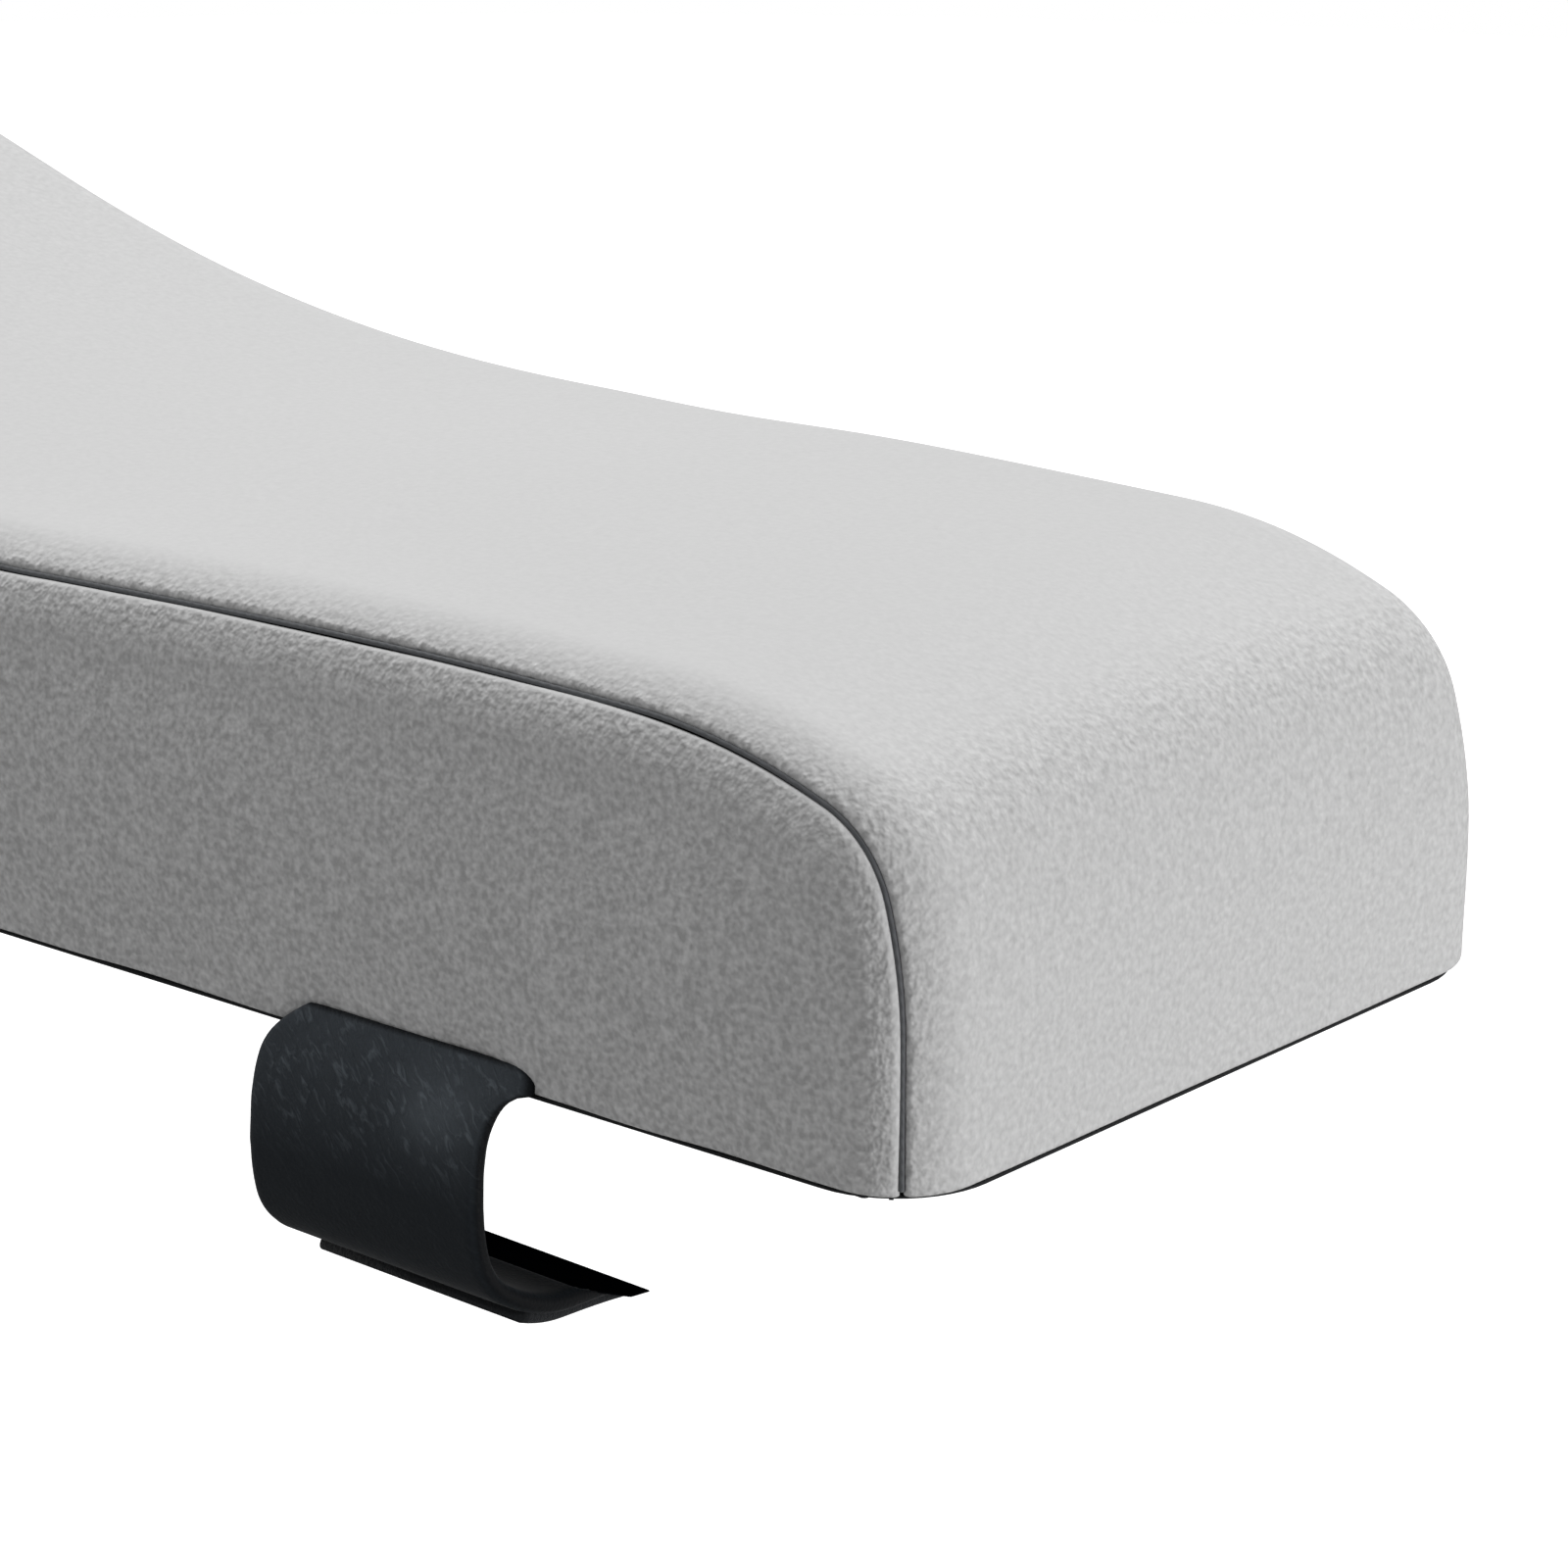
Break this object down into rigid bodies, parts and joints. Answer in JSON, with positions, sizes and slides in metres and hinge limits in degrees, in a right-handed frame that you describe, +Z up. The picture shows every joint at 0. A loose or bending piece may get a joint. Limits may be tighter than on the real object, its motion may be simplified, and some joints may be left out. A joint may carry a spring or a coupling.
{
  "type": "chair armrest pad",
  "caption": "Long upholstered foam pad with a rising rear end that lies on a chair's arm and is held by sewn-on straps under it.",
  "frame": {"origin": "centre of the flat base face that lies on the chair's arm", "axes": "+X to the low rounded front end, +Z up, -Y the right side"},
  "size_m": [0.2838, 0.1028, 0.0919],
  "materials": {
    "cover_cloth": "soft grained leather-look knit, matt",
    "grey_thread": "dark grey sewing thread",
    "base_cloth": "black coated cloth",
    "grip_rubber": "black anti-slip sheet",
    "black_thread": "black sewing thread",
    "foam": "slow-recovery foam",
    "liner_cloth": "thin knitted sock",
    "strap_webbing": "blue-black grained strap",
    "loop_pile": "soft loop pile",
    "hook_tape": "moulded hooks",
    "zip_tape": "woven tape",
    "zip_coil": "nylon coil",
    "zip_metal": "enamelled zinc"
  },
  "bodies": {
    "pad": {"top_panel": "cover_cloth", "side_panel_right": "cover_cloth", "seam_thread_right": "grey_thread", "side_panel_left": "cover_cloth", "seam_thread_left": "grey_thread", "base_panel": "base_cloth", "grip_sheet": "grip_rubber", "base_seam_thread": "black_thread", "foam_core": "foam", "foam_liner": "liner_cloth", "anchor_front_right": "strap_webbing", "anchor_rear_right": "strap_webbing", "anchor_front_left": "strap_webbing", "anchor_rear_left": "strap_webbing", "zip_tape_upper": "zip_tape", "zip_coil_upper": "zip_coil", "zip_tape_lower": "zip_tape", "zip_coil_lower": "zip_coil", "zip_stops": "zip_metal"},
    "band_front_right": {"strap_band_front_right": "strap_webbing"},
    "tip_front_right": {"strap_tip_front_right": "strap_webbing", "loop_tab_front_right": "loop_pile", "tab_stitching_front_right": "black_thread"},
    "band_rear_right": {"strap_band_rear_right": "strap_webbing"},
    "tip_rear_right": {"strap_tip_rear_right": "strap_webbing", "loop_tab_rear_right": "loop_pile", "tab_stitching_rear_right": "black_thread"},
    "band_front_left": {"strap_band_front_left": "strap_webbing"},
    "tip_front_left": {"strap_tip_front_left": "strap_webbing", "hook_tab_front_left": "hook_tape", "tab_stitching_front_left": "black_thread"},
    "band_rear_left": {"strap_band_rear_left": "strap_webbing"},
    "tip_rear_left": {"strap_tip_rear_left": "strap_webbing", "hook_tab_rear_left": "hook_tape", "tab_stitching_rear_left": "black_thread"},
    "slider": {"zip_slider": "zip_metal"},
    "pull": {"zip_pull": "zip_metal"}
  },
  "joints": [
    {"name": "strap_root_front_right", "type": "hinge", "parent": "pad", "child": "band_front_right", "pos_m": [0.07225, -0.0469, 0.0017], "axis": [-1, 0, 0], "range_deg": [-15, 65], "stiffness_Nm_per_rad": 0.02},
    {"name": "strap_fold_front_right", "type": "hinge", "parent": "band_front_right", "child": "tip_front_right", "pos_m": [0.07225, -0.0477, -0.02106], "axis": [-1, 0, 0], "range_deg": [-20, 45], "stiffness_Nm_per_rad": 0.02},
    {"name": "strap_root_rear_right", "type": "hinge", "parent": "pad", "child": "band_rear_right", "pos_m": [-0.07225, -0.0469, 0.0017], "axis": [-1, 0, 0], "range_deg": [-15, 65], "stiffness_Nm_per_rad": 0.02},
    {"name": "strap_fold_rear_right", "type": "hinge", "parent": "band_rear_right", "child": "tip_rear_right", "pos_m": [-0.07225, -0.0477, -0.02106], "axis": [-1, 0, 0], "range_deg": [-20, 45], "stiffness_Nm_per_rad": 0.02},
    {"name": "strap_root_front_left", "type": "hinge", "parent": "pad", "child": "band_front_left", "pos_m": [0.07225, 0.0469, 0.0017], "axis": [1, 0, 0], "range_deg": [-15, 65], "stiffness_Nm_per_rad": 0.02},
    {"name": "strap_fold_front_left", "type": "hinge", "parent": "band_front_left", "child": "tip_front_left", "pos_m": [0.07225, 0.0477, -0.02106], "axis": [1, 0, 0], "range_deg": [-20, 45], "stiffness_Nm_per_rad": 0.02},
    {"name": "strap_root_rear_left", "type": "hinge", "parent": "pad", "child": "band_rear_left", "pos_m": [-0.07225, 0.0469, 0.0017], "axis": [1, 0, 0], "range_deg": [-15, 65], "stiffness_Nm_per_rad": 0.02},
    {"name": "strap_fold_rear_left", "type": "hinge", "parent": "band_rear_left", "child": "tip_rear_left", "pos_m": [-0.07225, 0.0477, -0.02106], "axis": [1, 0, 0], "range_deg": [-20, 45], "stiffness_Nm_per_rad": 0.02},
    {"name": "zip_travel", "type": "slide", "parent": "pad", "child": "slider", "axis": [0, 1, 0], "range_m": [0, 0.054]},
    {"name": "zip_pull_swing", "type": "hinge", "parent": "slider", "child": "pull", "pos_m": [-0.1429, -0.027, 0.012], "axis": [0, 0, 1], "range_deg": [0, 150]}
  ]
}
